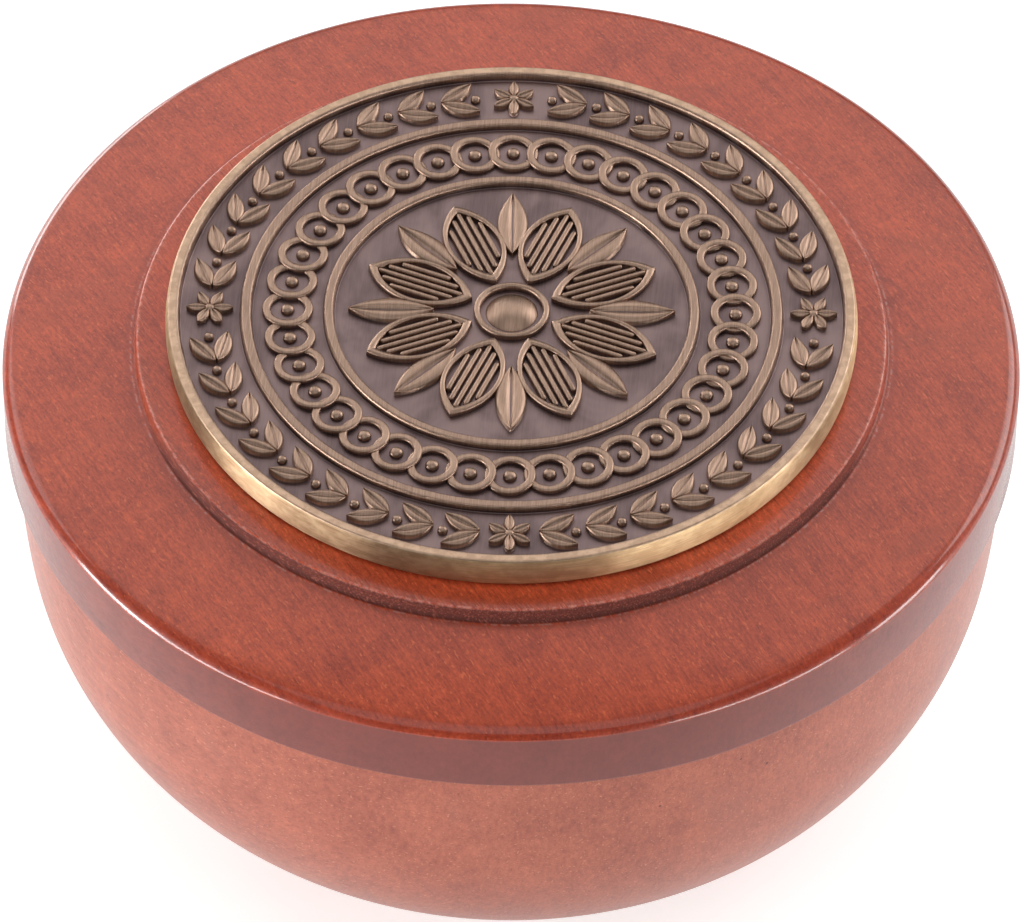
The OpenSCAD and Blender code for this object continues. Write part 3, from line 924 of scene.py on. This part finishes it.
def satin_wall():
    """The medallion's turned side, whose fine grooves spread highlights up and down, with painted
    shade in brown patches.
    """
    g = Graph("satin_wall")
    grooves = g.noise(g.coords, (9, 9, 0.12), detail=2, rough=0.6)
    tarnish = g.noise(g.coords, (2.2, 2.2, 1.1), detail=4, rough=0.6)
    colour = g.mix(g.ramp(tarnish, 0.38, 0.66), rgb(0.68, 0.46, 0.25), rgb(0.86, 0.64, 0.36))
    shade_brown = g.mix(g.ramp(tarnish, 0.38, 0.66), rgb(0.24, 0.15, 0.09), rgb(0.42, 0.30, 0.19))
    # Painted shade: brown patches at the front left and front right of the side
    for angle, none, full, amount in WALL_SHADE_PATCHES:
        middle = (math.cos(math.radians(angle)), math.sin(math.radians(angle)), 0)
        along = g.add("ShaderNodeVectorMath", {0: g.coords, 1: middle}, operation="DOT_PRODUCT")
        along = along.outputs["Value"]
        colour = g.mix(g.ramp(along, none * CAST_R, full * CAST_R, 0.0, amount), colour, shade_brown)
    g.surface(
        Base_Color=g.mix(g.ramp(grooves, 0.35, 0.65, 0.0, 0.5), colour, rgb(0.52, 0.35, 0.21)),
        Metallic=1.0,
        Roughness=0.42,
        Anisotropic=0.95,
        Anisotropic_Rotation=0.25,
        Tangent=g.add("ShaderNodeTangent", direction_type="RADIAL", axis="Z").outputs[0],
        Normal=g.bump(grooves, 0.008 * MM, 0.4),
    )
    return g.material


def pressed_soap():
    g = Graph("pressed_soap")
    soft = g.noise(g.coords, (16, 16, 16), detail=4)
    fine = g.noise(g.coords, (1.4, 1.4, 1.4), detail=3)
    g.surface(
        Base_Color=g.mix(g.ramp(soft, 0.35, 0.65), rgb(0.91, 0.87, 0.74), rgb(0.85, 0.79, 0.63)),
        Roughness=g.ramp(fine, 0.3, 0.7, 0.42, 0.58),
        Normal=g.bump(fine, 0.05 * MM, 0.4),
        Subsurface_Weight=0.3,
        Subsurface_Radius=(2 * MM, 1.4 * MM, 1.0 * MM),
        Subsurface_Scale=1.0,
    )
    return g.material


def adhesive():
    g = Graph("adhesive")
    specks = g.noise(g.coords, (0.8, 0.8, 0.8), detail=3)
    g.surface(
        Base_Color=g.mix(g.ramp(specks, 0.3, 0.7), rgb(0.60, 0.57, 0.50), rgb(0.48, 0.45, 0.38)),
        Roughness=g.ramp(specks, 0.3, 0.7, 0.35, 0.5),
    )
    return g.material


def pale_floor():
    """A white sheet, which glows where it is seen or mirrored and lights nothing more for it."""
    g = Graph("pale_floor")
    soft = g.noise(g.coords, (250, 250, 250), detail=2)
    ray = g.add("ShaderNodeLightPath").outputs
    seen = g.ramp(ray["Is Camera Ray"], 0.0, 1.0, 0.0, 0.62)
    mirrored = g.ramp(ray["Is Glossy Ray"], 0.0, 1.0, 0.03, 0.30)
    g.surface(
        Base_Color=g.mix(soft, rgb(0.85, 0.87, 0.87), rgb(0.83, 0.85, 0.85)),
        Roughness=0.6,
        Emission_Color=rgb(0.97, 1.0, 1.0),
        Emission_Strength=g.maths("MAXIMUM", seen, mirrored),
    )
    return g.material


def dress(obj, *materials):
    obj.data.materials.clear()
    for material in materials:
        obj.data.materials.append(material)


PITS = ("bowl_pit_far", "bowl_pit_right", "bowl_pit_middle")
pits = [on_surface(name, bowl) for name in PITS]
knot = on_surface("knot", lid)
KNOT_TURN = Vector((-1.9, -2.4, 0)) * MM
dress(bowl, bowl_wood(pits))
dress(lid, lid_wood(knot, knot + KNOT_TURN))
dress(soap, pressed_soap())
dress(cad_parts["bond_pad"], adhesive())
dress(medallion, antiqued_brass(), satin_wall())
for polygon in medallion.data.polygons:
    if math.hypot(polygon.center.x, polygon.center.y) > CAST_R - WALL_BULGE - 0.5 * BEVEL:
        polygon.material_index = 1

# ---------------------------------------------------------------- stage and lights
FLOOR_HALF = 6.0
corners = [(x * FLOOR_HALF, y * FLOOR_HALF, 0) for x, y in ((-1, -1), (1, -1), (1, 1), (-1, 1))]
floor = make_mesh("floor", corners, [[0, 1, 2, 3]])
dress(floor, pale_floor())

BACKDROP_LIGHT = 0.8
FILL_LIGHT = 0.02
world = bpy.data.worlds.new("studio")
world.use_nodes = True
background = world.node_tree.nodes["Background"]
seen = world.node_tree.nodes.new("ShaderNodeLightPath")
strength = world.node_tree.nodes.new("ShaderNodeMapRange")
world.node_tree.links.new(seen.outputs["Is Camera Ray"], strength.inputs[0])
strength.inputs[3].default_value, strength.inputs[4].default_value = FILL_LIGHT, BACKDROP_LIGHT
world.node_tree.links.new(strength.outputs[0], background.inputs[1])
background.inputs[0].default_value = rgb(1.0, 1.0, 1.0)
bpy.context.scene.world = world

LIGHT_DISTANCE = 1.2
# Name: azimuth and elevation in degrees, with azimuth 90 straight behind,
# then width and height in metres, and watts
SOFTBOXES = {
    "back_high": (90, 44, 1.3, 0.85, 4.2),
    "overhead": (270, 72, 1.2, 1.2, 3.6),
    "back_right": (36, 28, 0.8, 0.6, 5.4),
    "back_left": (120, 7, 0.5, 0.28, 3.2),
    "left": (190, 6, 0.42, 0.24, 7.2),
    "left_middle": (144, 35, 0.55, 0.55, 2.1),
    "right": (352, 6, 0.4, 0.24, 3.6),
    "front_left_low": (210, 4, 0.8, 0.16, 6.4),
    "front_right_low": (318, 4, 0.8, 0.16, 5.0),
}
for name, (azimuth, elevation, width, height, power) in SOFTBOXES.items():
    turn, rise = math.radians(azimuth), math.radians(elevation)
    data = bpy.data.lights.new(name, "AREA")
    data.shape = "RECTANGLE"
    data.size, data.size_y, data.energy = width, height, power
    softbox = bpy.data.objects.new(name, data)
    level = math.cos(rise)
    away = Vector((level * math.cos(turn), level * math.sin(turn), math.sin(rise)))
    softbox.location = Vector((0, 0, RIM_Z)) + LIGHT_DISTANCE * away
    softbox.rotation_euler = away.to_track_quat("Z", "Y").to_euler()
    bpy.context.scene.collection.objects.link(softbox)

# ---------------------------------------------------------------- how true points and size are
bpy.context.view_layer.update()
dressed = [bowl, lid, medallion]
vertices = np.concatenate([np.array([v.co for v in piece.data.vertices]) for piece in dressed])
on_frame = shown_at(vertices)
first, faces = 0, []
for piece in dressed:
    faces += [tuple(first + i for i in f.vertices) for f in piece.data.polygons]
    first += len(piece.data.vertices)
whole = BVHTree.FromPolygons(vertices.tolist(), faces)
LINE_REACH = 0.02 * MM


def shows(index):
    """Whether nothing of the object stands between a vertex and the camera."""
    place = Vector(vertices[index])
    away = (camera.matrix_world.translation - place).normalized()
    return whole.ray_cast(place + 0.05 * MM * away, away)[0] is None


def line_at(point, radius, height):
    """How far the turned line that is nearest a radius and a height shows from its image point."""
    distance = np.hypot(np.hypot(vertices[:, 0], vertices[:, 1]) - radius, vertices[:, 2] - height)
    line = np.flatnonzero(distance < distance.min() + LINE_REACH)
    target = np.array(IMAGE_POINTS[point], float)
    start = None
    for i in line[np.argsort(np.hypot(*(on_frame[line] - target).T))]:
        if not shows(i):
            continue
        if start is None:
            start = on_frame[i]
        elif np.hypot(*(on_frame[i] - start)) > 1:
            along = on_frame[i] - start
            share = np.dot(target - start, along) / np.dot(along, along)
            return (start + share * along - target).round(1).tolist()
    return None


def limit_at(point, axis, sign):
    """How far the outermost vertex that shows lies from the bound in its image point."""
    for i in np.argsort(-sign * on_frame[:, axis]):
        if shows(i):
            gap = round(float(on_frame[i, axis] - IMAGE_POINTS[point][axis]), 1)
            return [gap, None] if axis == 0 else [None, gap]
    return None


def spot_at(point, place):
    return (shown_at([place])[0] - np.array(IMAGE_POINTS[point], float)).round(1).tolist()


apart = {
    "object_left": limit_at("object_left", 0, -1),
    "object_right": limit_at("object_right", 0, 1),
    "object_top": limit_at("object_top", 1, -1),
    "object_bottom": limit_at("object_bottom", 1, 1),
    "seam_front": line_at("seam_front", LID_R, RIM_Z + LID_FOOT),
    "lid_line_front": line_at("lid_line_front", LID_R, ARRIS_Z),
    "lid_line_left": line_at("lid_line_left", LID_R, ARRIS_Z),
    "lid_line_right": line_at("lid_line_right", LID_R, ARRIS_Z),
    "platform_edge_front": line_at("platform_edge_front", PLATFORM_R, PLATFORM_Z),
    "medallion_rim_front": line_at("medallion_rim_front", CAST_R, CAST_TOP),
    "medallion_rim_back": line_at("medallion_rim_back", CAST_R - WALL_BULGE - BEVEL, CAST_TOP),
    "medallion_base_front": line_at("medallion_base_front", CAST_R, cast_low.z),
    "outer_ring_front": line_at("outer_ring_front", OUTER_RING_R, RING_TOP),
    "inner_ring_front": line_at("inner_ring_front", INNER_RING_R, RING_TOP),
    "knot": spot_at("knot", knot),
}
apart.update({name: spot_at(name, place) for name, place in zip(PITS, pits)})
